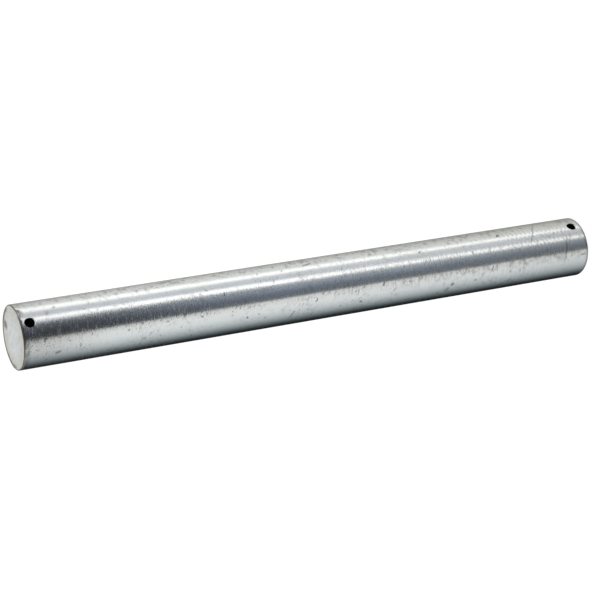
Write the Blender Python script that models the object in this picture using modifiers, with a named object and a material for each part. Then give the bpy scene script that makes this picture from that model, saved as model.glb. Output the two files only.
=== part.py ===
# Bed frame pin: a length of zinc-plated round bar with a cotter hole drilled across it near each end.
#
# Metres, +Z up. The pin stands on one sawn end, its foot, and its axis is Z. The origin is the centre
# of the foot. A turn is an angle round Z in degrees: 0 faces -Y and 90 faces +X.

import math

import bpy

# The bar
BAR_DIAMETER = 0.03175     # 1 1/4 in cold-drawn bar
PIN_LENGTH = 0.3207        # over both end faces
EDGE_RADIUS = 0.0005       # both rims, broken by hand after sawing

# The cross holes, which take a cotter pin above and below what the pin holds
HOLE_BORE = 0.0049         # a 3/16 in drill, which cuts a little over its own size
HOLE_DEBURR = 0.00035      # how far the countersink goes in at each mouth
TOP_HOLE_INSET = 0.00475   # centre of the hole to the top end
TOP_HOLE_TURN = 0.0
FOOT_HOLE_INSET = 0.0058   # centre of the hole to the foot
FOOT_HOLE_TURN = 22.0      # drilled without an index, so it isn't in line with the top hole

# How the shapes are cut and divided
CUTTER_RUNOUT = 0.002      # how far a cutter stands out of the bar
BAR_STEPS = 96             # sides round the bar
HOLE_STEPS = 40            # sides round a cross hole
RIM_STEPS = 4              # segments in the rounding of a rim
WELD_DISTANCE = 1e-6
SHARP_ANGLE = math.radians(30)

bar_radius = BAR_DIAMETER / 2


def clear_scene():
    for obj in list(bpy.data.objects):
        bpy.data.objects.remove(obj, do_unlink=True)


def new_collection(name):
    collection = bpy.data.collections.new(name)
    bpy.context.scene.collection.children.link(collection)
    return collection


def zinc_plated_steel():
    material = bpy.data.materials.new("zinc_plated_steel")
    material.use_nodes = True
    shader = material.node_tree.nodes["Principled BSDF"]
    shader.inputs["Base Color"].default_value = (0.62, 0.64, 0.65, 1.0)
    shader.inputs["Metallic"].default_value = 1.0
    shader.inputs["Roughness"].default_value = 0.32
    return material


def arc(centre_x, centre_z, radius, start, end, steps):
    # Points on an arc in the XZ plane, from one angle to another. 0 degrees is +X and 90 is +Z.
    points = []
    for i in range(steps + 1):
        angle = math.radians(start + (end - start) * i / steps)
        points.append((centre_x + radius * math.cos(angle), centre_z + radius * math.sin(angle)))
    return points


def turned(name, outline, steps, collection):
    # Spins an outline of (x, z) points round Z. It starts and ends on the axis and runs down the
    # outer side from top to bottom, which makes the faces point outwards.
    mesh = bpy.data.meshes.new(name)
    edges = [(i, i + 1) for i in range(len(outline) - 1)]
    mesh.from_pydata([(x, 0.0, z) for x, z in outline], edges, [])
    obj = bpy.data.objects.new(name, mesh)
    collection.objects.link(obj)
    screw = obj.modifiers.new("turn", "SCREW")
    screw.axis = "Z"
    screw.angle = math.tau
    screw.steps = steps
    screw.render_steps = steps
    screw.use_merge_vertices = True
    screw.merge_threshold = WELD_DISTANCE
    return obj


def sawn_bar(collection):
    # The bare bar, with the rim of each end rounded over.
    inner = bar_radius - EDGE_RADIUS
    top_rim = arc(inner, PIN_LENGTH - EDGE_RADIUS, EDGE_RADIUS, 90, 0, RIM_STEPS)
    foot_rim = arc(inner, EDGE_RADIUS, EDGE_RADIUS, 0, -90, RIM_STEPS)
    outline = [(0.0, PIN_LENGTH), *top_rim, *foot_rim, (0.0, 0.0)]
    return turned("frame_pin", outline, BAR_STEPS, collection)


def hole_cutter(name, height, turn, collection):
    # A drill right through the bar, with a 90 degree countersink at both mouths. The cone starts
    # HOLE_DEBURR below the crest of the bar, so the broken edge is widest along the pin and
    # narrows round it, as a real countersink leaves it on a round bar.
    bore_radius = HOLE_BORE / 2
    cone_start = bar_radius - HOLE_DEBURR
    cone_end = bar_radius + CUTTER_RUNOUT
    cone_radius = bore_radius + cone_end - cone_start
    outline = [
        (0.0, cone_end),
        (cone_radius, cone_end),
        (bore_radius, cone_start),
        (bore_radius, -cone_start),
        (cone_radius, -cone_end),
        (0.0, -cone_end),
    ]
    cutter = turned(name, outline, HOLE_STEPS, collection)
    cutter.location = (0.0, 0.0, height)
    cutter.rotation_euler = (math.radians(90), 0.0, math.radians(turn))
    cutter.hide_render = True
    cutter.display_type = "WIRE"
    return cutter


def cut(obj, cutter):
    boolean = obj.modifiers.new(cutter.name, "BOOLEAN")
    boolean.operation = "DIFFERENCE"
    boolean.solver = "EXACT"
    boolean.object = cutter


def settle_modifiers(obj):
    # Turns the modifier stack into the object's own mesh, smooth on its rounds and sharp at its edges.
    bpy.context.view_layer.update()
    evaluated = obj.evaluated_get(bpy.context.evaluated_depsgraph_get())
    mesh = bpy.data.meshes.new_from_object(evaluated)
    obj.modifiers.clear()
    obj.data = mesh
    mesh.name = obj.name
    mesh.shade_smooth()
    mesh.set_sharp_from_angle(angle=SHARP_ANGLE)


def build():
    clear_scene()
    parts = new_collection("bed_frame_pin")
    cutters = new_collection("cutters")

    pin = sawn_bar(parts)
    top_height = PIN_LENGTH - TOP_HOLE_INSET
    cut(pin, hole_cutter("top_cotter_hole", top_height, TOP_HOLE_TURN, cutters))
    cut(pin, hole_cutter("foot_cotter_hole", FOOT_HOLE_INSET, FOOT_HOLE_TURN, cutters))
    settle_modifiers(pin)
    pin.data.materials.clear()
    pin.data.materials.append(zinc_plated_steel())


build()
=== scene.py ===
import math

import bmesh
import bpy
from mathutils import Matrix, Quaternion, Vector, noise


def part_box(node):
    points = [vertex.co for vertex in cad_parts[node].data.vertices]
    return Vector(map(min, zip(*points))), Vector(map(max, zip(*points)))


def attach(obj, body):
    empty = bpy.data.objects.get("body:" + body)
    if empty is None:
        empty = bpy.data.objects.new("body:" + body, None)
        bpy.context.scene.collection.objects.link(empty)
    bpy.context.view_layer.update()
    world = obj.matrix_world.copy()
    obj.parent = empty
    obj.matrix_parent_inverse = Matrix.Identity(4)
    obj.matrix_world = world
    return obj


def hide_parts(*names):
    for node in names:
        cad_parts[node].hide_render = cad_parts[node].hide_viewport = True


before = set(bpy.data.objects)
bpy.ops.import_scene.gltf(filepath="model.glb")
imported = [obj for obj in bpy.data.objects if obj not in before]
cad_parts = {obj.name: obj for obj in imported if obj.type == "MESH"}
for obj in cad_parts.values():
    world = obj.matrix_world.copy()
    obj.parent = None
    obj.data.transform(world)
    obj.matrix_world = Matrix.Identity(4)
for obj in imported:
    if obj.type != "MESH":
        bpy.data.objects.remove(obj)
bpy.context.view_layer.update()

# Bed frame pin, dressed: zinc-plated round bar, sawn to length and cross-drilled near each end.
# The frame stands it on its foot. The photograph shows it lying down, so the camera is rolled over.
# A turn is an angle round the pin in degrees: 0 faces -Y, 90 faces +X.

mm = 0.001
pinLow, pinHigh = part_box("frame_pin")
pinLength = pinHigh.z - pinLow.z
pinRadius = (pinHigh.x - pinLow.x) / 2


def linearColour(hexText, level=1.0):
    # sRGB hex to the linear values that shaders take. A lamp's level may be over 1.
    channels = [int(hexText[i:i + 2], 16) / 255 for i in (1, 3, 5)]
    linear = [c / 12.92 if c <= 0.04045 else ((c + 0.055) / 1.055) ** 2.4 for c in channels]
    return tuple(level * c for c in linear) + (1.0,)


def addNode(tree, kind, inputs=(), **settings):
    # Adds a node with its settings, and links or fills its inputs: a list in order, or a dict by
    # name or number. A node among them stands for the first of its outputs that is in use.
    node = tree.nodes.new("ShaderNode" + kind)
    for name, value in settings.items():
        setattr(node, name, value)
    for key, value in inputs.items() if isinstance(inputs, dict) else enumerate(inputs):
        if isinstance(value, bpy.types.Node):
            value = next(output for output in value.outputs if output.enabled)
        if isinstance(value, bpy.types.NodeSocket):
            tree.links.new(value, node.inputs[key])
        else:
            node.inputs[key].default_value = value
    return node


def newMaterial(name):
    material = bpy.data.materials.new(name)
    material.use_nodes = True
    material.node_tree.nodes.clear()
    return material, material.node_tree


def perLump(*sizes):
    # What to scale a noise's place by, for lumps of these sizes along X, Y and Z
    return [1 / size for size in sizes]


def onBar(turn, height, radius=pinRadius):
    # The point at a turn and a height on the bar's surface
    angle = math.radians(turn)
    return Vector((radius * math.sin(angle), -radius * math.cos(angle), height))


def smoothStep(low, high, value):
    share = min(max((value - low) / (high - low), 0), 1)
    return share * share * (3 - 2 * share)


smooth = {"interpolation_type": "SMOOTHSTEP"}    # makes a MapRange ease in and out


# The photograph's view. The camera takes it, and the single marks are placed by it.

photoView = {
    "pixels": 590,                 # across the picture, and down it
    "sensor": 36.0,                # mm, Blender's own
    "lens": 108.455,
    "turn": -21.293,               # of the camera round the pin
    "rise": 25.756,                # degrees that it looks down
    "roll": 99.328,
    "distance": 903.8 * mm,
    "aim": Vector((-1.52, 0.59, 171.3)) * mm,
}


def cameraPose():
    # Where the camera stands and how it is turned
    rise = math.radians(photoView["rise"])
    outward = onBar(photoView["turn"], 0, math.cos(rise)) + Vector((0, 0, math.sin(rise)))
    level = (-outward).to_track_quat("-Z", "Y")
    rolled = level @ Quaternion((0, 0, 1), math.radians(-photoView["roll"]))
    return photoView["aim"] + outward * photoView["distance"], rolled


def seenAt(across, down):
    # The turn and height of the place on the bar that a pixel of the photograph shows
    stand, rotation = cameraPose()
    middle = photoView["pixels"] / 2
    perPixel = photoView["sensor"] / photoView["lens"] / photoView["pixels"]
    ray = rotation @ Vector(((across - middle) * perPixel, (middle - down) * perPixel, -1))
    squared = ray.xy.length_squared
    towards = -stand.xy.dot(ray.xy)
    outside = stand.xy.length_squared - pinRadius ** 2
    reach = (towards - math.sqrt(towards ** 2 - squared * outside)) / squared
    place = stand + ray * reach
    return math.degrees(math.atan2(place.x, -place.y)), place.z


# The plated bar

platedBar = {
    "reflect": "#e6e6e5",          # clean zinc
    "filmAndShade": "#7b7a76",             # grease and dust worked into the grain; also the colour of the painted shade beside the ends and towards the top
    "dust": "#746b5c",             # lies on the side that faced up in the rack
    "stainAndShade": "#5b4832",            # brown ticks and hairs, where the plate has been scraped, and the oil down the top, which is partly painted shade
    "fleck": "#2b231b",            # pits and specks that the plate didn't cover
    "rim": "#57493c",              # brown line where the plate is thin on the corners, and painted dark reflection of the rounded edges
    "roughness": 0.15,
    "hazeRoughness": 0.29,         # the passivate film scatters about a quarter of the light
    "hazeIor": 2.8,
    "streakPitch": 1.3 * mm,       # turning marks at the top third
    "streakLength": 3.2 * mm,
    "gritSize": 0.9 * mm,          # really about 0.2 mm, drawn as coarse as it needs to show
    "ripplePitch": 1.3 * mm,
    "speckSize": 1.3 * mm,         # really about 0.5 mm, drawn as coarse as it needs to show
    "tickLength": 2.7 * mm,
    "tickWidth": 0.75 * mm,
    "tickSlant": 62,
    "markRaggedness": 1.6 * mm,
    "filmRoughness": 0.12,         # what a full share of film and painted shade adds
    "litBandsTurn": 18,                # the painted shade towards the top is weaker round this turn, where the bands of light run
    "dustyTurn": 62,               # the side that faced up
    "rubbedTurn": -39.0,           # where a rubbed line down the bar meets the foot
    "rubbedLean": 15.0,            # degrees that it turns for each metre up
    "dustLineTurn": -36.0,         # dust is rubbed in here in the lower half
    "hairsTurn": -27.0,            # the hairs are thickest on this side
}

# Marks that show singly. Each has its middle's place in the photograph, as pixels across and down read
# off, its length and width in mm, its slant and its strength. A slant of 0 lies along the pin,
# 90 lies round it, and 45 climbs towards the foot and the higher turns.
marks = {
    "tickUnderTopHole": (45.4, 339.3, 2.6, 0.7, 60, 1.0),
    "brownSpeckByTopHole": (53.6, 307.3, 1.6, 0.9, 20, 0.5),
    "tickOverTopHole": (40.2, 303.9, 1.8, 0.6, 80, 0.6),
    "smudgeByTopHole": (46.9, 313.5, 2.6, 1.6, 60, 0.35),
    "firstScratch": (88.5, 302.5, 3.0, 0.5, 70, 0.4),
    "highTick": (109.5, 295.8, 2.0, 0.5, 80, 0.45),
    "nextHighTick": (136.8, 290.5, 2.0, 0.5, 80, 0.4),
    "dotsUnderBand": (129.1, 329.8, 1.4, 0.9, 30, 0.7),
    "darkSmudgeNearTop": (58.4, 351.9, 3.0, 1.4, 20, 0.6),
    "forkedTick": (80.8, 345.5, 2.2, 0.8, 70, 0.5),
    "longBrownLine": (164.0, 282.5, 9.0, 1.2, 8, 0.6),
    "lowDot": (189.9, 330.4, 1.3, 0.8, 40, 0.5),
    "lowestDot": (190.8, 335.6, 1.5, 0.8, 60, 0.5),
    "speckInBand": (206.6, 290.7, 1.2, 0.8, 0, 0.6),
    "darkDash": (224.3, 294.0, 2.0, 0.7, 70, 0.7),
    "tickUnderBand": (241.0, 307.4, 2.4, 0.6, 65, 0.7),
    "smudgeUnderBand": (185.0, 315.6, 2.2, 1.6, 60, 0.55),
    "dotUnderBand": (247.3, 317.5, 1.2, 1.0, 60, 0.7),
    "highDot": (244.4, 273.0, 1.1, 0.9, 0, 0.6),
    "thinDash": (256.8, 274.4, 1.8, 0.5, 70, 0.5),
    "doubleDash": (306.5, 264.7, 5.0, 1.2, 15, 0.6),
    "highDash": (294.0, 262.8, 2.4, 0.6, 60, 0.5),
    "dashesInBand": (273.9, 280.8, 1.8, 0.6, 50, 0.5),
    "highSmudge": (369.6, 254.7, 2.4, 1.8, 30, 0.45),
    "nextDarkDash": (317.0, 300.1, 2.6, 0.7, 55, 0.7),
    "dashBesideIt": (323.7, 292.9, 1.6, 0.9, 60, 0.5),
    "lowTick": (340.4, 305.9, 1.4, 0.9, 60, 0.5),
    "longDiagonal": (291.1, 315.4, 6.0, 0.6, 60, 0.75),
    "blot": (360.5, 301.6, 1.8, 1.2, 20, 0.7),
    "diagonal": (384.0, 283.9, 2.6, 0.7, 60, 0.7),
    "nextDiagonal": (394.5, 289.6, 2.0, 0.7, 60, 0.6),
    "speckOverBand": (419.4, 252.1, 1.8, 1.2, 20, 0.7),
    "brownTick": (425.9, 260.9, 2.0, 0.7, 60, 0.5),
    "uprightDash": (447.7, 242.9, 3.0, 0.8, 85, 0.6),
    "tickAfterIt": (460.7, 239.8, 1.6, 0.8, 70, 0.5),
    "darkBlot": (497.0, 236.0, 2.4, 1.6, 40, 0.85),
    "ringBlot": (452.3, 284.2, 2.4, 1.8, 30, 0.6),
    "lowSmudge": (446.6, 289.6, 3.4, 2.2, 60, 0.4),
    "smallDot": (475.6, 280.0, 1.4, 1.0, 20, 0.6),
    "hook": (493.2, 267.4, 2.6, 0.9, 70, 0.6),
    "tickPastHook": (510.5, 271.0, 1.8, 0.9, 60, 0.6),
    "lowScratch": (508.0, 280.3, 3.6, 1.0, 40, 0.45),
    "lineAcrossTop": (532.3, 232.5, 18.6, 0.7, 59, 0.55),
    "lineUnderFootHole": (566.8, 250.0, 15.2, 0.7, 76, 0.62),
    "lineByFootHole": (569.8, 238.0, 5.0, 0.7, 65, 0.5),
    "dashByFootRim": (583.0, 254.1, 3.0, 0.9, 10, 0.6),
    "smudgeByTopRim": (28.7, 352.7, 3.0, 1.4, 80, 0.5),
    "topRimWear": (17.0, 311.0, 1.0, 1.8, 0, 0.5),
    "topRimWearBelow": (18.5, 317.0, 0.9, 2.2, 0, 0.35),
    "topRimWearAbove": (15.0, 307.5, 0.9, 2.2, 0, 0.35),
    "topRimWearLast": (21.0, 321.5, 0.8, 1.6, 0, 0.3),
}
highestMark = pinLength - 1.1 * mm    # a place read on the curve of the rim is brought down to here


def markShares(tree, unrolled):
    # Soft-edged dashes at the listed places, added together
    wander = addNode(tree, "TexNoise", {
        "Vector": addNode(tree, "Mapping", {"Vector": unrolled, "Scale": perLump(mm, mm, mm)}),
        "Scale": 1.0, "Detail": 2.0})
    offset = addNode(tree, "VectorMath", (wander.outputs["Color"], (0.5, 0.5, 0.5)), operation="SUBTRACT")
    offset = addNode(tree, "VectorMath", {0: offset, "Scale": platedBar["markRaggedness"]}, operation="SCALE")
    ragged = addNode(tree, "VectorMath", (unrolled, offset), operation="ADD")
    flat = addNode(tree, "VectorMath", (ragged, (1.0, 1.0, 0.0)), operation="MULTIPLY")
    total = 0.0
    for across, down, length, width, slant, strength in marks.values():
        turn, height = seenAt(across, down)
        inFrame = addNode(tree, "Mapping", {
            "Vector": flat,
            "Location": (math.radians(turn) * pinRadius, min(height, highestMark), 0),
            "Rotation": (0, 0, math.radians(slant)),
            "Scale": (width * mm / 2, length * mm / 2, 1)}, vector_type="TEXTURE")
        away = addNode(tree, "VectorMath", [inFrame], operation="LENGTH")
        share = addNode(tree, "MapRange", (away.outputs["Value"], 0.6, 1.4, 1.3 * strength, 0.0), **smooth)
        total = addNode(tree, "Math", (total, share), operation="MAXIMUM")
    return total


def grains(tree, place):
    # Marks of the turning tool, grit from the pickling bath, and ripples round the bar
    length = platedBar["streakLength"]
    streaks = addNode(tree, "TexNoise", {
        "Vector": addNode(tree, "Mapping", {
            "Vector": place, "Scale": perLump(length, length, platedBar["streakPitch"] / 2)}),
        "Scale": 1.0, "Detail": 3.0, "Roughness": 0.6})
    size = platedBar["gritSize"]
    grit = addNode(tree, "TexNoise", {
        "Vector": addNode(tree, "Mapping", {"Vector": place, "Scale": perLump(size, size, size)}),
        "Scale": 1.0, "Detail": 2.0, "Roughness": 0.6})
    ripples = addNode(tree, "TexNoise", {
        "Vector": addNode(tree, "Mapping", {
            "Vector": place, "Scale": perLump(9 * mm, 9 * mm, platedBar["ripplePitch"] / 2)}),
        "Scale": 1.0, "Detail": 2.0})
    return streaks, grit, ripples


def fleckShares(tree, place, unrolled, turn, along, grit):
    # Specks and slanted ticks scattered in patches, thick along one line that has been rubbed, and
    # dots beside the top rim. Gives the dark ones and the brown ones.
    patches = addNode(tree, "TexNoise", {
        "Vector": addNode(tree, "Mapping", {"Vector": place, "Scale": perLump(11 * mm, 11 * mm, 15 * mm)}),
        "Scale": 1.0, "Detail": 3.0})
    patches = addNode(tree, "MapRange", (patches, 0.4, 0.66, 0.0, 0.08), **smooth)
    line = addNode(tree, "Math", (along, -platedBar["rubbedLean"], -platedBar["rubbedTurn"]),
                   operation="MULTIPLY_ADD")
    fromLine = addNode(tree, "Math", (turn, line), operation="ADD")
    fromLine = addNode(tree, "Math", [fromLine], operation="ABSOLUTE")
    rubbed = addNode(tree, "MapRange", (fromLine, 1.5, 7.0, 0.06, 0.0), **smooth)
    upper = addNode(tree, "MapRange", (along, 20 * mm, 200 * mm, 0.55, 1.0), **smooth)
    rubbed = addNode(tree, "Math", (rubbed, upper), operation="MULTIPLY")
    easier = addNode(tree, "Math", (patches, rubbed), operation="ADD")

    size = platedBar["speckSize"]
    specks = addNode(tree, "TexNoise", {
        "Vector": addNode(tree, "Mapping", {"Vector": place, "Scale": perLump(size, size, size)}),
        "Scale": 1.0, "Detail": 2.5, "Roughness": 0.6})
    specks = addNode(tree, "Math", (specks, easier), operation="ADD")
    specks = addNode(tree, "MapRange", (specks, 0.715, 0.79, 0.0, 0.9), **smooth)

    slanted = addNode(tree, "Mapping", {
        "Vector": unrolled,
        "Rotation": (0, 0, math.radians(90 - platedBar["tickSlant"]))})
    ticks = addNode(tree, "TexNoise", {
        "Vector": addNode(tree, "Mapping", {
            "Vector": slanted,
            "Scale": perLump(platedBar["tickLength"], platedBar["tickWidth"], 1.0)}),
        "Scale": 1.0, "Detail": 1.5, "Roughness": 0.55})
    ticks = addNode(tree, "Math", (ticks, easier), operation="ADD")
    ticks = addNode(tree, "MapRange", (ticks, 0.69, 0.77, 0.0, 0.8), **smooth)

    fromTop = addNode(tree, "Math", (pinLength, along), operation="SUBTRACT")
    extraDotsAndShadeNearEnds = addNode(tree, "MapRange", (fromTop, mm, 42 * mm, 0.17, 0.0), **smooth)
    beside = addNode(tree, "MapRange", (fromLine, 8.0, 34.0, 1.0, 0.3), **smooth)
    extraDotsAndShadeNearEnds = addNode(tree, "Math", (extraDotsAndShadeNearEnds, beside), operation="MULTIPLY")
    dots = addNode(tree, "Math", (grit, extraDotsAndShadeNearEnds), operation="ADD")
    dots = addNode(tree, "MapRange", (dots, 0.7, 0.77, 0.0, 0.6), **smooth)
    return addNode(tree, "Math", (specks, dots), operation="MAXIMUM"), ticks


def surfaceHeight(tree, along, grain, keen):
    # Streaks in the top third, grit above the ribs and faint ripples all along, in millimetres
    streaks, grit, ripples = grain
    streakHeight = addNode(tree, "MapRange", (along, 185 * mm, 260 * mm, 0.008, 0.06), **smooth)
    gritHeight = addNode(tree, "MapRange", (along, 50 * mm, 120 * mm, 0.006, 0.028), **smooth)
    rippleHeight = addNode(tree, "MapRange", (along, 120 * mm, 190 * mm, 0.005, 0.002), **smooth)
    height = addNode(tree, "Math", (streaks, streakHeight), operation="MULTIPLY")
    height = addNode(tree, "Math", (grit, gritHeight, height), operation="MULTIPLY_ADD")
    height = addNode(tree, "Math", (height, keen), operation="MULTIPLY")
    return addNode(tree, "Math", (ripples, rippleHeight, height), operation="MULTIPLY_ADD")


def filmShadeAndDustShares(tree, place, turn, along):
    # Grey film lies in cloudy patches, with painted shade added beside the ends and towards the top, weaker
    # round the turn where the bands of light run.
    # Brown dust lies on the side that faced up, and where the lower half was rubbed. Gives both.
    clouds = addNode(tree, "TexNoise", {
        "Vector": addNode(tree, "Mapping", {"Vector": place, "Scale": perLump(3 * mm, 3 * mm, 2.5 * mm)}),
        "Scale": 1.0, "Detail": 4.0, "Roughness": 0.68})
    patches = addNode(tree, "TexNoise", {
        "Vector": addNode(tree, "Mapping", {"Vector": place, "Scale": perLump(14 * mm, 14 * mm, 22 * mm)}),
        "Scale": 1.0, "Detail": 3.0, "Roughness": 0.6})
    filmAndShade = addNode(tree, "MapRange", (clouds, 0.46, 0.74), **smooth)
    thickness = addNode(tree, "MapRange", (patches, 0.4, 0.65, 0.1, 0.6), **smooth)
    filmAndShade = addNode(tree, "Math", (filmAndShade, thickness), operation="MULTIPLY")

    fromTop = addNode(tree, "Math", (pinLength, along), operation="SUBTRACT")
    # Painted shade is weaker round the turn where the bands of light run
    litBandsSide = onBar(platedBar["litBandsTurn"], 0, 1 / pinRadius)
    awayFromLitBands = addNode(tree, "VectorMath", (place, litBandsSide), operation="DOT_PRODUCT")
    awayFromLitBands = addNode(tree, "MapRange", (awayFromLitBands, 0.75, 0.94, 1.0, 0.35), **smooth)
    # Painted shade beside the rims at both ends
    nearTop = addNode(tree, "MapRange", (fromTop, 0.8 * mm, 6 * mm, 1.0, 0.0), **smooth)
    nearTop = addNode(tree, "Math", (nearTop, awayFromLitBands), operation="MULTIPLY")
    nearFoot = addNode(tree, "MapRange", (along, 0.5 * mm, 3.2 * mm, 0.6, 0.0), **smooth)
    ends = addNode(tree, "Math", (nearTop, nearFoot), operation="ADD")
    broken = addNode(tree, "MapRange", (clouds, 0.3, 0.6, 0.4, 1.0), **smooth)
    ends = addNode(tree, "Math", (ends, broken), operation="MULTIPLY")
    filmAndShade = addNode(tree, "Math", (filmAndShade, ends), operation="MAXIMUM")
    # Painted shade towards the top, and a little film near the foot
    extraDotsAndShadeNearEnds = addNode(tree, "MapRange", (fromTop, 4 * mm, 50 * mm, 0.42, 0.0), **smooth)
    extraDotsAndShadeNearEnds = addNode(tree, "Math", (extraDotsAndShadeNearEnds, awayFromLitBands), operation="MULTIPLY")
    stood = addNode(tree, "MapRange", (along, 2 * mm, 70 * mm, 0.12, 0.0), **smooth)
    extraDotsAndShadeNearEnds = addNode(tree, "Math", (extraDotsAndShadeNearEnds, stood), operation="ADD")
    filmAndShade = addNode(tree, "Math", (filmAndShade, extraDotsAndShadeNearEnds), operation="MAXIMUM")

    dustySide = onBar(platedBar["dustyTurn"], 0, 1 / pinRadius)
    dust = addNode(tree, "VectorMath", (place, dustySide), operation="DOT_PRODUCT")
    dust = addNode(tree, "MapRange", (dust, 0.8, 0.95, 0.0, 0.72), **smooth)
    clumps = addNode(tree, "MapRange", (clouds, 0.5, 0.63), **smooth)
    dust = addNode(tree, "Math", (dust, clumps), operation="MULTIPLY")
    fromLine = addNode(tree, "Math", (turn, -platedBar["dustLineTurn"]), operation="ADD")
    fromLine = addNode(tree, "Math", [fromLine], operation="ABSOLUTE")
    rubbed = addNode(tree, "MapRange", (fromLine, 3.0, 15.0, 0.5, 0.0), **smooth)
    lowerHalf = addNode(tree, "MapRange", (along, 75 * mm, 135 * mm, 1.0, 0.0), **smooth)
    torn = addNode(tree, "MapRange", (clouds, 0.42, 0.66), **smooth)
    torn = addNode(tree, "Math", (lowerHalf, torn), operation="MULTIPLY")
    rubbed = addNode(tree, "Math", (rubbed, torn), operation="MULTIPLY")
    return filmAndShade, addNode(tree, "Math", (dust, rubbed), operation="MAXIMUM")


def hairShare(tree, turn, along, streaks, ripples):
    # Fine brown lines round the bar in its lower half, thickest on one side and where it faces front
    fromLine = addNode(tree, "Math", (turn, -platedBar["hairsTurn"]), operation="ADD")
    fromLine = addNode(tree, "Math", [fromLine], operation="ABSOLUTE")
    near = addNode(tree, "MapRange", (fromLine, 8.0, 26.0, 1.0, 0.15), **smooth)
    crossing = addNode(tree, "Math", [turn], operation="ABSOLUTE")
    crossing = addNode(tree, "MapRange", (crossing, 3.0, 9.0, 1.3, 0.0), **smooth)
    near = addNode(tree, "Math", (near, crossing), operation="MAXIMUM")
    lowerHalf = addNode(tree, "MapRange", (along, 130 * mm, 200 * mm, 0.4, 0.0), **smooth)
    share = addNode(tree, "Math", (near, lowerHalf), operation="MULTIPLY")
    hairs = addNode(tree, "MapRange", (ripples, 0.53, 0.65), **smooth)
    share = addNode(tree, "Math", (share, hairs), operation="MULTIPLY")
    torn = addNode(tree, "MapRange", (streaks, 0.38, 0.58), **smooth)
    return addNode(tree, "Math", (share, torn), operation="MULTIPLY")


def oilAndShadeShare(tree, turn, along, streaks):
    # Brown oil left in the turning marks, down one side of the top; it is also painted shade that darkens the
    # dark reflected band there
    share = addNode(tree, "MapRange", (along, 225 * mm, 290 * mm, 0.0, 0.4), **smooth)
    for measure, none, full in ((turn, -30.6, -28.2), (turn, 1.0, -12.0), (along, 319 * mm, 308 * mm)):
        within = addNode(tree, "MapRange", (measure, none, full), **smooth)
        share = addNode(tree, "Math", (share, within), operation="MULTIPLY")
    grooves = addNode(tree, "MapRange", (streaks, 0.4, 0.6, 1.25, 0.55), **smooth)
    return addNode(tree, "Math", (share, grooves), operation="MULTIPLY")


def rimShare(tree, along):
    # The plate is thin on the corners, which are brown, and broadly so at the foot; this is also painted dark
    # reflection of the rounded edges
    fromTop = addNode(tree, "Math", (pinLength, along), operation="SUBTRACT")
    nearEnd = addNode(tree, "Math", (fromTop, along), operation="MINIMUM")
    rims = addNode(tree, "MapRange", (nearEnd, 0.25 * mm, 0.7 * mm, 0.7, 0.0), **smooth)
    footRim = addNode(tree, "MapRange", (along, 0.4 * mm, 1.7 * mm, 0.9, 0.0), **smooth)
    return addNode(tree, "Math", (rims, footRim), operation="MAXIMUM")


def plateRoughness(tree, along, grain, keen, filmAndShade):
    # Rougher in the grooves at the top, in the grit, between the ripples and under the film and painted shade
    streaks, grit, ripples = grain
    grooved = addNode(tree, "MapRange", (streaks, 0.56, 0.67, 0.0, 0.34), **smooth)
    towardsTop = addNode(tree, "MapRange", (along, 190 * mm, 250 * mm), **smooth)
    rough = addNode(tree, "Math", (grooved, towardsTop), operation="MULTIPLY")
    combed = addNode(tree, "MapRange", (ripples, 0.52, 0.64), **smooth)
    towardsFoot = addNode(tree, "MapRange", (along, 80 * mm, 180 * mm, 0.16, 0.0), **smooth)
    rough = addNode(tree, "Math", (combed, towardsFoot, rough), operation="MULTIPLY_ADD")
    gritty = addNode(tree, "MapRange", (grit, 0.53, 0.74), **smooth)
    pastRibs = addNode(tree, "MapRange", (along, 50 * mm, 140 * mm, 0.06, 0.26), **smooth)
    rough = addNode(tree, "Math", (gritty, pastRibs, rough), operation="MULTIPLY_ADD")
    rough = addNode(tree, "Math", (rough, keen, platedBar["roughness"]), operation="MULTIPLY_ADD")
    return addNode(tree, "Math", (filmAndShade, platedBar["filmRoughness"], rough), operation="MULTIPLY_ADD")


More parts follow.
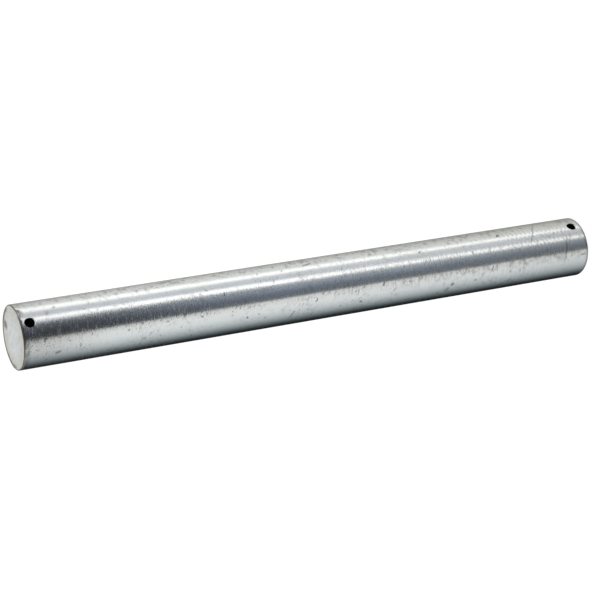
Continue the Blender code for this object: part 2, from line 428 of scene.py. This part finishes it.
def brightZinc():
    # Bright zinc plate with a clear passivate, over cold-drawn bar: it mirrors the room in long
    # bands, and the drawing and turning marks under the plate make the bands' edges ragged.
    material, tree = newMaterial("bright_zinc_plate")
    place = addNode(tree, "TexCoord").outputs["Object"]
    parts = addNode(tree, "SeparateXYZ", [place])
    along = parts.outputs["Z"]
    back = addNode(tree, "Math", (parts.outputs["Y"], -1.0), operation="MULTIPLY")
    angle = addNode(tree, "Math", (parts.outputs["X"], back), operation="ARCTAN2")
    turn = addNode(tree, "Math", [angle], operation="DEGREES")
    aroundPin = addNode(tree, "Math", (angle, pinRadius), operation="MULTIPLY")
    unrolled = addNode(tree, "CombineXYZ", (aroundPin, along, 0.0)).outputs[0]
    grain = grains(tree, place)
    streaks, grit, ripples = grain

    # Handling has smoothed the plate but for one side, which is keen
    keen = addNode(tree, "MapRange", (turn, -4.0, 4.0, 1.0, 0.24), **smooth)
    underside = addNode(tree, "MapRange", (turn, -42.0, -18.0, 0.4, 1.0), **smooth)
    keen = addNode(tree, "Math", (keen, underside), operation="MULTIPLY")
    height = surfaceHeight(tree, along, grain, keen)
    bump = addNode(tree, "Bump", {"Height": height, "Distance": mm, "Strength": 1.0})

    flecks, ticks = fleckShares(tree, place, unrolled, turn, along, grit)
    flecks = addNode(tree, "Math", (flecks, markShares(tree, unrolled)), operation="MAXIMUM")
    hairs = hairShare(tree, turn, along, streaks, ripples)
    stainsAndShade = addNode(tree, "Math", (ticks, hairs), operation="MAXIMUM")
    stainsAndShade = addNode(tree, "Math", (stainsAndShade, oilAndShadeShare(tree, turn, along, streaks)), operation="MAXIMUM")
    # The film, stain and rim layers also carry painted shade and painted dark reflection
    filmAndShade, dust = filmShadeAndDustShares(tree, place, turn, along)
    layers = {"filmAndShade": filmAndShade, "dust": dust, "rim": rimShare(tree, along), "stainAndShade": stainsAndShade, "fleck": flecks}
    colour = linearColour(platedBar["reflect"])
    for name, share in layers.items():
        over = linearColour(platedBar[name])
        colour = addNode(tree, "Mix", {0: share, 6: colour, 7: over}, data_type="RGBA")
    surface = addNode(tree, "BsdfPrincipled", {
        "Base Color": colour, "Metallic": 1.0, "Normal": bump,
        "Roughness": plateRoughness(tree, along, grain, keen, filmAndShade),
        "Coat Weight": 1.0, "Coat Roughness": platedBar["hazeRoughness"], "Coat IOR": platedBar["hazeIor"]})
    addNode(tree, "OutputMaterial", {"Surface": surface})
    return material


sawnEnd = {
    "middle": "#dadddd",
    "outer": "#cecfc9",
    "mottle": "#c3c5bf",
    "spot": "#a3a19a",
    "smudgeTurn": 121,
    "smudgeOut": 11.3 * mm,
    "smudgeSize": (6.4 * mm, 5.4 * mm),    # along the radius and across it
    "shadedRimTurn": 158,              # the side of the rim away from the camera, which gets a broad band of painted shade
    "sawMarks": 0.012,             # heights in millimetres
    "grain": 0.02,
}


def dullZinc():
    # The same plate over a sawn face: fine saw marks scatter the light, so it looks pale and matt.
    material, tree = newMaterial("sawn_zinc_plate")
    place = addNode(tree, "TexCoord").outputs["Object"]
    mottle = addNode(tree, "TexNoise", {
        "Vector": addNode(tree, "Mapping", {"Vector": place, "Scale": perLump(3 * mm, 5 * mm, 4 * mm)}),
        "Scale": 1.0, "Detail": 4.0, "Roughness": 0.65})
    grain = addNode(tree, "TexNoise", {
        "Vector": addNode(tree, "Mapping", {"Vector": place, "Scale": perLump(0.8 * mm, 1.1 * mm, 0.8 * mm)}),
        "Scale": 1.0, "Detail": 2.0, "Roughness": 0.6})
    saw = addNode(tree, "TexNoise", {
        "Vector": addNode(tree, "Mapping", {"Vector": place, "Scale": perLump(0.5 * mm, 12 * mm, 12 * mm)}),
        "Scale": 1.0, "Detail": 2.0})
    flat = addNode(tree, "VectorMath", (place, (1.0, 1.0, 0.0)), operation="MULTIPLY")
    out = addNode(tree, "VectorMath", [flat], operation="LENGTH")

    # The rim is brown where the plate is thin, with painted dark reflection of the rounded edge, and on the
    # side away from the camera a broad band of painted shade makes it dull and dark
    ragged = addNode(tree, "Math", (mottle, 0.8 * mm, out), operation="MULTIPLY_ADD")
    inside, outside = pinRadius - 0.55 * mm, pinRadius + 0.1 * mm
    rim = addNode(tree, "MapRange", (ragged, inside, outside, 0.0, 0.85), **smooth)
    shadedRimSide = onBar(sawnEnd["shadedRimTurn"], 0, 1 / pinRadius)
    facing = addNode(tree, "VectorMath", (place, shadedRimSide), operation="DOT_PRODUCT")
    facing = addNode(tree, "MapRange", (facing, 0.0, 0.35), **smooth)
    shadedRim = addNode(tree, "MapRange", (ragged, pinRadius - 2.5 * mm, pinRadius - mm, 0.0, 0.74), **smooth)
    shadedRim = addNode(tree, "Math", (shadedRim, facing), operation="MULTIPLY")
    rim = addNode(tree, "Math", (rim, shadedRim), operation="MAXIMUM")

    # One oily smudge lies across the face near that side
    smudgeLength, smudgeWidth = sawnEnd["smudgeSize"]
    inSmudge = addNode(tree, "Mapping", {
        "Vector": flat,
        "Location": onBar(sawnEnd["smudgeTurn"], 0, sawnEnd["smudgeOut"]),
        "Rotation": (0, 0, math.radians(sawnEnd["smudgeTurn"] - 90)),
        "Scale": (smudgeLength / 2, smudgeWidth / 2, 1)}, vector_type="TEXTURE")
    smudge = addNode(tree, "VectorMath", [inSmudge], operation="LENGTH")
    smudge = addNode(tree, "Math", (grain, 1.4, smudge), operation="MULTIPLY_ADD")
    smudge = addNode(tree, "MapRange", (smudge, 0.8, 1.9, 0.8, 0.0), **smooth)

    outer = addNode(tree, "MapRange", (ragged, 6 * mm, 15 * mm), **smooth)
    mottled = addNode(tree, "MapRange", (mottle, 0.48, 0.72, 0.0, 0.55), **smooth)
    spots = addNode(tree, "MapRange", (grain, 0.58, 0.8, 0.0, 0.4), **smooth)
    colour = linearColour(sawnEnd["middle"])
    for share, over in ((outer, sawnEnd["outer"]), (mottled, sawnEnd["mottle"]), (spots, sawnEnd["spot"]),
                        (smudge, platedBar["rim"]), (rim, platedBar["rim"])):
        colour = addNode(tree, "Mix", {0: share, 6: colour, 7: linearColour(over)}, data_type="RGBA")
    height = addNode(tree, "Math", (saw, sawnEnd["sawMarks"]), operation="MULTIPLY")
    height = addNode(tree, "Math", (grain, sawnEnd["grain"], height), operation="MULTIPLY_ADD")
    bump = addNode(tree, "Bump", {"Height": height, "Distance": mm, "Strength": 1.0})
    rough = addNode(tree, "MapRange", (mottle, 0.3, 0.7, 0.5, 0.62), **smooth)
    surface = addNode(tree, "BsdfPrincipled", {
        "Base Color": colour, "Metallic": 1.0, "Roughness": rough, "Normal": bump})
    addNode(tree, "OutputMaterial", {"Surface": surface})
    return material


drilledHole = {
    # Near-black drill mark colours: painted shade inside the bore
    "shadedValley": "#2a2725",
    "shadedRidge": "#3d3936",
    "drillMarks": 0.4 * mm,        # from ring to ring
}


def drilledBorePaintedShade():
    # Plate hardly reaches inside a drilled hole: bare, oiled drill marks, coloured near black as painted
    # shade in the bore.
    material, tree = newMaterial("drilled_bore_painted_shade")
    place = addNode(tree, "TexCoord").outputs["Object"]
    rings = addNode(tree, "TexNoise", {
        "Vector": addNode(tree, "Mapping", {
            "Vector": place, "Scale": perLump(4 * mm, drilledHole["drillMarks"], 4 * mm)}),
        "Scale": 1.0, "Detail": 2.0})
    colour = addNode(tree, "Mix", {
        0: rings, 6: linearColour(drilledHole["shadedValley"]), 7: linearColour(drilledHole["shadedRidge"])},
        data_type="RGBA")
    rough = addNode(tree, "MapRange", (rings, 0.3, 0.7, 0.45, 0.65), **smooth)
    surface = addNode(tree, "BsdfPrincipled", {"Base Color": colour, "Metallic": 1.0, "Roughness": rough})
    addNode(tree, "OutputMaterial", {"Surface": surface})
    return material


# The pin's mesh

framePin = {
    "sides": 128,                  # faces round the bar
    "ringStep": 1.0 * mm,          # between rings along the shank
    "ribStep": 0.4 * mm,           # between rings where the ribs are
    "ribsUpTo": 200 * mm,
    "ribsFrom": (6 * mm, 13 * mm),         # they begin between these heights
    "ribPitch": 2.45 * mm,         # at the foot; the straightening rolls left these
    "ribsWiden": 0.25,             # how they open out towards the top
    "ribHeight": 0.021 * mm,
    "ribWander": 0.5,              # radians that they stray by
    "ribPatch": 14 * mm,           # size of the patches where they are deeper
    "ribsOneSided": 0.6,           # how much deeper they are on one side near the foot
    "ribsTurnOver": (40 * mm, 80 * mm),    # between these heights that side becomes the shallow one
    "endRings": 14,                # rings across each sawn face
    "rimRadius": 0.35 * mm,        # broken edge of the sawn ends
    "rimRings": 5,
    "rimUneven": 0.3 * mm,         # how much more the file took off in places
    "waviness": 0.02 * mm,         # slow bends in the drawn surface
    "wavelength": 24 * mm,
    "sawUneven": 0.06 * mm,        # dips in the sawn faces
    "boreRadius": 2.45 * mm,
    "deburr": 0.35 * mm,           # depth of the countersink at each mouth
    "cutterRunout": 2 * mm,
    "lastRing": 0.3 * mm,          # clear space below the top rim
    "holes": ((pinLength - 4.75 * mm, 0), (5.8 * mm, 22)),   # height and turn of each cross hole
    "boreSides": 64,
    "flatTurn": 24,                # a flat knocked on the top rim
    "flatDepth": 0.3 * mm,
    "flatReach": 2.8 * mm,
    "sharpAngle": 35,
}

brightFace, sawnFace, boreFace = 0, 1, 2    # material slots


def turned(outline, sides):
    # Spins an outline of (radius, height) points round Z into a closed mesh
    mesh = bmesh.new()
    chain = [mesh.verts.new((radius, 0, height)) for radius, height in outline]
    edges = [mesh.edges.new(pair) for pair in zip(chain, chain[1:])]
    bmesh.ops.spin(mesh, geom=chain + edges, cent=(0, 0, 0), axis=(0, 0, 1), angle=math.tau,
                   steps=sides, use_merge=True)
    bmesh.ops.remove_doubles(mesh, verts=mesh.verts, dist=0.0001 * mm)
    bmesh.ops.recalc_face_normals(mesh, faces=mesh.faces)
    return mesh


def barOutline():
    # From the middle of the foot face out to its rim, up the shank, and in over the top face
    rim = framePin["rimRadius"]
    inner = pinRadius - rim
    corner = []
    for i in range(framePin["rimRings"] + 1):
        angle = math.radians(90 * i / framePin["rimRings"])
        corner.append((inner + rim * math.sin(angle), rim - rim * math.cos(angle)))
    flat = [(inner * i / framePin["endRings"], 0) for i in range(framePin["endRings"])]
    half = flat + corner
    heights = []
    height = rim
    while height < pinLength - rim:
        height += framePin["ribStep"] if height < framePin["ribsUpTo"] else framePin["ringStep"]
        heights.append(height)
    shank = [(pinRadius, height) for height in heights if height < pinLength - rim - framePin["lastRing"]]
    return half + shank + [(radius, pinLength - height) for radius, height in reversed(half)]


def roughen(mesh):
    # Takes the turned bar out of true by hundredths of a millimetre, and dresses its rims by hand
    for vertex in mesh.verts:
        x, y, height = vertex.co
        radius = math.hypot(x, y)
        turn = math.atan2(x, -y)
        fromEnd = min(height, pinLength - height)
        atTop = height > pinLength / 2
        inward = Vector((-x, -y, 0)).normalized() if radius > mm else Vector()
        downInto = Vector((0, 0, -1 if atTop else 1))
        side = smoothStep(pinRadius - 1.5 * mm, pinRadius - 0.5 * mm, radius)

        slow = noise.noise(vertex.co / framePin["wavelength"])
        wander = noise.noise(Vector((x * 60, y * 60, height * 25)))
        upTo = framePin["ribsUpTo"]
        strength = 1 - smoothStep(0.05 * upTo, 0.8 * upTo, height)
        strength *= smoothStep(*framePin["ribsFrom"], height)
        strength *= 0.8 + 0.45 * noise.noise(vertex.co / framePin["ribPatch"])
        deeper = 1 - 2 * smoothStep(*framePin["ribsTurnOver"], height)
        strength *= 1 + framePin["ribsOneSided"] * deeper * smoothStep(0, math.radians(12), turn)
        opened = 1 - framePin["ribsWiden"] * height / upTo
        rib = math.sin(math.tau * height * opened / framePin["ribPitch"] + framePin["ribWander"] * wander)
        relief = slow * framePin["waviness"] + rib * strength * framePin["ribHeight"] / 2
        vertex.co += inward * -relief * side * smoothStep(0, 2 * mm, fromEnd)

        dips = 0.5 + 0.5 * noise.noise(Vector((x, y, height)) / (7 * mm))
        face = 1 - smoothStep(0, 0.1 * mm, fromEnd)
        vertex.co += downInto * dips * framePin["sawUneven"] * face * (1 - side)

        rimReach = 1.6 * framePin["rimRadius"]
        corner = 1 - smoothStep(0, rimReach, fromEnd)
        corner *= smoothStep(pinRadius - rimReach, pinRadius, radius)
        ragged = 0.5 + 0.5 * noise.noise(Vector((x, y, 3 * atTop)) / (5 * mm))
        vertex.co += (inward + downInto) * ragged * corner * framePin["rimUneven"] / 2

        if atTop:
            reach = framePin["flatReach"]
            aside = (turn - math.radians(framePin["flatTurn"])) * pinRadius
            away = math.hypot(aside / 1.3, fromEnd) / reach
            press = (1 - smoothStep(0.2, 1.0, away)) * side
            vertex.co += (inward + 0.5 * downInto) * press * framePin["flatDepth"]


def newObject(name, mesh, materials):
    data = bpy.data.meshes.new(name)
    mesh.to_mesh(data)
    mesh.free()
    piece = bpy.data.objects.new(name, data)
    bpy.context.scene.collection.objects.link(piece)
    for material in materials:
        data.materials.append(material)
    return piece


def holeCutter(height, turn, materials):
    # A drill right through the bar with a 90 degree countersink at both mouths
    bore = framePin["boreRadius"]
    start = pinRadius - framePin["deburr"]
    end = pinRadius + framePin["cutterRunout"]
    wide = bore + end - start
    outline = [(0, -end), (wide, -end), (bore, -start), (bore, start), (wide, end), (0, end)]
    mesh = turned(outline, framePin["boreSides"])
    for face in mesh.faces:
        onBore = abs(face.normal.z) < 0.1
        face.material_index = boreFace if onBore else brightFace
    cutter = newObject("hole_cutter", mesh, materials)
    turnedRound = Matrix.Rotation(math.radians(turn), 4, "Z")
    laidFlat = Matrix.Rotation(math.radians(90), 4, "X")
    cutter.matrix_world = Matrix.Translation((0, 0, height)) @ turnedRound @ laidFlat
    return cutter


def makePin():
    materials = [brightZinc(), dullZinc(), drilledBorePaintedShade()]
    mesh = turned(barOutline(), framePin["sides"])
    for face in mesh.faces:
        onEnd = abs(face.normal.z) > 0.3
        face.material_index = sawnFace if onEnd else brightFace
    roughen(mesh)
    pin = newObject("frame_pin_finished", mesh, materials)
    cutters = [holeCutter(height, turn, materials) for height, turn in framePin["holes"]]
    for cutter in cutters:
        drill = pin.modifiers.new("drill", "BOOLEAN")
        drill.operation = "DIFFERENCE"
        drill.solver = "EXACT"
        drill.object = cutter
    bpy.context.view_layer.update()
    evaluated = pin.evaluated_get(bpy.context.evaluated_depsgraph_get())
    data = bpy.data.meshes.new_from_object(evaluated)
    pin.modifiers.clear()
    pin.data = data
    for cutter in cutters:
        bpy.data.objects.remove(cutter)
    data.shade_smooth()
    data.set_sharp_from_angle(angle=math.radians(framePin["sharpAngle"]))
    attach(pin, "root")
    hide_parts("frame_pin")
    return pin


pin = makePin()
print("pin:", sum(len(face.vertices) - 2 for face in pin.data.polygons), "triangles")


# The studio

studio = {
    "leanPerFall": 68.0,           # degrees that the lamps lean for each unit a ray falls
    "middleFall": 0.435,
    "bow": 170.0,                  # how far the edge of the pale sector bows
    "softboxes": (
        {"turn": 23.0, "width": 13.5, "edge": 7, "level": 1.26, "low": 0.82, "colour": "#fffcf4",
         "narrower": (1.2, 1.15)},
        {"turn": 65.3, "width": 16, "edge": 9, "level": 0.76, "low": 1.08, "colour": "#fffcf5",
         "narrower": (0.8, 1.45)},
    ),
    # What stands behind the lamps: turn and colour, going round from the back
    "room": ((-180, "#111212"), (-160, "#0c0d0e"), (-150, "#2e3437"), (-135, "#646d71"), (-119, "#9ba4a7"),
             (-103, "#c3cbce"), (-79, "#e8edee"), (-60, "#f0f4f4"), (-40.5, "#e8eae7"),
             (-38.5, "#676d73"), (-27, "#6e767f"), (-19, "#727a89"), (-11, "#828c9c"), (-3, "#97a2b2"),
             (5, "#98a3b0"), (14, "#a7b0bb"), (45, "#cad0d7"), (80, "#dee2e3"), (93, "#dbdedd"),
             (109, "#c6c9c7"), (125, "#b1b2ae"), (150, "#93918c"), (161, "#77726c"), (172, "#1c1c1c"),
             (180, "#111212")),
    "darkFrom": (-39.5, -38.5),    # the pale sector gives way to the dark one between these turns
    "gloom": "#0e0d0c",            # behind the dark sector, where it faces the pin's top
    "dim": "#f2f1ed",              # what the light is multiplied by near the floor
    "paleDim": "#edeeef",          # and on the pale side
    "darkLift": "#f6f4ed",         # what the dark sector is also multiplied by there
    "darkLiftLevel": 1.1,
    "ceiling": "#fbfbfb",
    "ceilingSide": (0.2, 0.8, 0.3),        # it is brightest this way
    "below": "#a9adb1",
}


def makeWorld():
    # What the pin mirrors. Fall is how steeply a ray goes down: 0 is level and 1 straight down.
    world = bpy.data.worlds.new("studio")
    world.use_nodes = True
    bpy.context.scene.world = world
    tree = world.node_tree
    tree.nodes.clear()
    direction = addNode(tree, "TexCoord").outputs["Generated"]
    parts = addNode(tree, "SeparateXYZ", [direction])
    back = addNode(tree, "Math", (parts.outputs["Y"], -1.0), operation="MULTIPLY")
    turn = addNode(tree, "Math", (parts.outputs["X"], back), operation="ARCTAN2")
    turn = addNode(tree, "Math", [turn], operation="DEGREES")
    fall = addNode(tree, "Math", (parts.outputs["Z"], -1.0), operation="MULTIPLY")

    # The lamps and what is beyond them lean, so that they run down the pin aslant, and the edge of
    # the pale sector bows
    limited = addNode(tree, "Clamp", (fall, 0.0, 0.7))
    fromMiddle = addNode(tree, "Math", (limited, studio["middleFall"]), operation="SUBTRACT")
    leaning = addNode(tree, "MapRange", (turn, -6.0, 12.0), **smooth)
    lean = addNode(tree, "Math", (fromMiddle, leaning), operation="MULTIPLY")
    leaned = addNode(tree, "Math", (lean, studio["leanPerFall"], turn), operation="MULTIPLY_ADD")
    bowing = addNode(tree, "MapRange", (turn, -34.0, -20.0, 1.0, 0.0), **smooth)
    bow = addNode(tree, "Math", (fromMiddle, fromMiddle), operation="MULTIPLY")
    bow = addNode(tree, "Math", (bow, bowing), operation="MULTIPLY")
    straight = addNode(tree, "MapRange", (fall, 0.52, 0.57, 1.0, 0.25), **smooth)
    bow = addNode(tree, "Math", (bow, straight), operation="MULTIPLY")
    leaned = addNode(tree, "Math", (bow, studio["bow"], leaned), operation="MULTIPLY_ADD")

    ramp = addNode(tree, "ValToRGB", [addNode(tree, "MapRange", (leaned, -180.0, 180.0))])
    stops = ramp.color_ramp.elements
    while len(stops) > 1:
        stops.remove(stops[-1])
    for i, (where, colour) in enumerate(studio["room"]):
        position = (where + 180) / 360
        stop = stops[0] if i == 0 else stops.new(position)
        stop.position = position
        stop.color = linearColour(colour)

    # The dark sector is darkest where it faces the pin's top
    darkSector = addNode(tree, "MapRange", (leaned, *studio["darkFrom"]))
    inner = addNode(tree, "MapRange", (turn, 2.0, 24.0, 1.0, 0.0), **smooth)
    darkSector = addNode(tree, "Math", (darkSector, inner), operation="MULTIPLY")
    facingTop = addNode(tree, "MapRange", (fall, 0.3, 0.42, 0.97, 0.0), **smooth)
    falling = addNode(tree, "MapRange", (fall, -0.05, 0.12))
    facingTop = addNode(tree, "Math", (facingTop, falling), operation="MULTIPLY")
    gloom = addNode(tree, "Math", (darkSector, facingTop), operation="MULTIPLY")
    light = addNode(tree, "Mix", {0: gloom, 6: ramp, 7: linearColour(studio["gloom"])}, data_type="RGBA")

    # The room changes its level towards the floor, and is dimmer near level
    nearFloor = addNode(tree, "MapRange", (fall, 0.44, 0.58), **smooth)
    pale = addNode(tree, "MapRange", (leaned, *studio["darkFrom"], 1.0, 0.0))
    dim = addNode(tree, "Mix", {0: pale, 6: linearColour(studio["dim"]), 7: linearColour(studio["paleDim"])},
                  data_type="RGBA")
    light = addNode(tree, "Mix", {0: nearFloor, 6: light, 7: dim}, data_type="RGBA", blend_type="MULTIPLY")
    darkFloor = addNode(tree, "Math", (darkSector, nearFloor), operation="MULTIPLY")
    lift = linearColour(studio["darkLift"], studio["darkLiftLevel"])
    light = addNode(tree, "Mix", {0: darkFloor, 6: light, 7: lift}, data_type="RGBA", blend_type="MULTIPLY")
    level = addNode(tree, "MapRange", (fall, 0.0, 0.29, 0.35, 1.0), **smooth)
    light = addNode(tree, "Mix", {0: 1.0, 6: light, 7: level}, data_type="RGBA", blend_type="MULTIPLY")

    belowTop = addNode(tree, "MapRange", (fall, -0.1, 0.15), **smooth)
    for box in studio["softboxes"]:
        topNarrower, footNarrower = box["narrower"]
        narrower = addNode(tree, "MapRange", (fall, 0.3, 0.42, topNarrower, 1.0), **smooth)
        narrowerBelow = addNode(tree, "MapRange", (fall, 0.45, 0.56, 1.0, footNarrower), **smooth)
        narrower = addNode(tree, "Math", (narrower, narrowerBelow), operation="MULTIPLY")
        aside = addNode(tree, "Math", (leaned, box["turn"]), operation="SUBTRACT")
        aside = addNode(tree, "Math", [aside], operation="ABSOLUTE")
        aside = addNode(tree, "Math", (aside, narrower), operation="MULTIPLY")
        inside = (box["width"] - box["edge"]) / 2
        share = addNode(tree, "MapRange", (aside, inside, inside + box["edge"], 1.0, 0.0), **smooth)
        share = addNode(tree, "Math", (share, belowTop), operation="MULTIPLY")
        weaker = addNode(tree, "MapRange", (fall, 0.42, 0.56, 1.0, box["low"]), **smooth)
        share = addNode(tree, "Math", (share, weaker), operation="MULTIPLY")
        lamp = linearColour(box["colour"], box["level"])
        light = addNode(tree, "Mix", {0: share, 6: light, 7: lamp}, data_type="RGBA", blend_type="ADD")

    # A grey table lies straight below, and the ceiling lights the sawn end from above and behind
    straightBelow = addNode(tree, "MapRange", (fall, 0.68, 0.8), **smooth)
    table = linearColour(studio["below"])
    light = addNode(tree, "Mix", {0: straightBelow, 6: light, 7: table}, data_type="RGBA")
    overhead = addNode(tree, "MapRange", (fall, 0.1, -0.15), **smooth)
    behind = addNode(tree, "VectorMath", (direction, studio["ceilingSide"]), operation="DOT_PRODUCT")
    behind = addNode(tree, "MapRange", (behind, -0.35, 0.1), **smooth)
    overhead = addNode(tree, "Math", (overhead, behind), operation="MULTIPLY")
    ceiling = linearColour(studio["ceiling"])
    light = addNode(tree, "Mix", {0: overhead, 6: light, 7: ceiling}, data_type="RGBA")
    seen = addNode(tree, "LightPath").outputs["Is Camera Ray"]
    light = addNode(tree, "Mix", {0: seen, 6: light, 7: (1, 1, 1, 1)}, data_type="RGBA")
    shine = addNode(tree, "Background", {"Color": light, "Strength": 1.0})
    addNode(tree, "OutputWorld", {"Surface": shine})


paper = {
    "colour": "#f2f2f2",
    "glow": 1.2,                   # what the camera sees of it, where 1 is white
    "glowShare": 0.75,             # the rest is its own shading, which holds the pin's shadow
    "half": 4,                     # metres from the middle to an edge
}


def makeFloor():
    # White to the camera, with just enough of its own shading left to hold the pin's shadow
    mesh = bmesh.new()
    bmesh.ops.create_grid(mesh, x_segments=1, y_segments=1, size=paper["half"])
    material, tree = newMaterial("white_paper")
    matt = addNode(tree, "BsdfDiffuse", {"Color": linearColour(paper["colour"])})
    glow = addNode(tree, "Emission", {"Color": (1, 1, 1, 1), "Strength": paper["glow"]})
    seen = addNode(tree, "LightPath").outputs["Is Camera Ray"]
    share = addNode(tree, "Math", (seen, paper["glowShare"]), operation="MULTIPLY")
    both = addNode(tree, "MixShader", (share, matt, glow))
    addNode(tree, "OutputMaterial", {"Surface": both})
    floor = newObject("floor", mesh, [material])
    floor.visible_glossy = False      # the pin mirrors the studio, as it does in the photograph
    floor.visible_shadow = False


def makeCamera():
    data = bpy.data.cameras.new("camera")
    data.lens = photoView["lens"]
    data.clip_start = 10 * mm
    camera = bpy.data.objects.new("camera", data)
    bpy.context.scene.collection.objects.link(camera)
    camera.rotation_mode = "QUATERNION"
    camera.location, camera.rotation_quaternion = cameraPose()
    bpy.context.scene.camera = camera


makeWorld()
makeFloor()
makeCamera()
bpy.context.scene.view_settings.view_transform = "Standard"
print("studio ready")
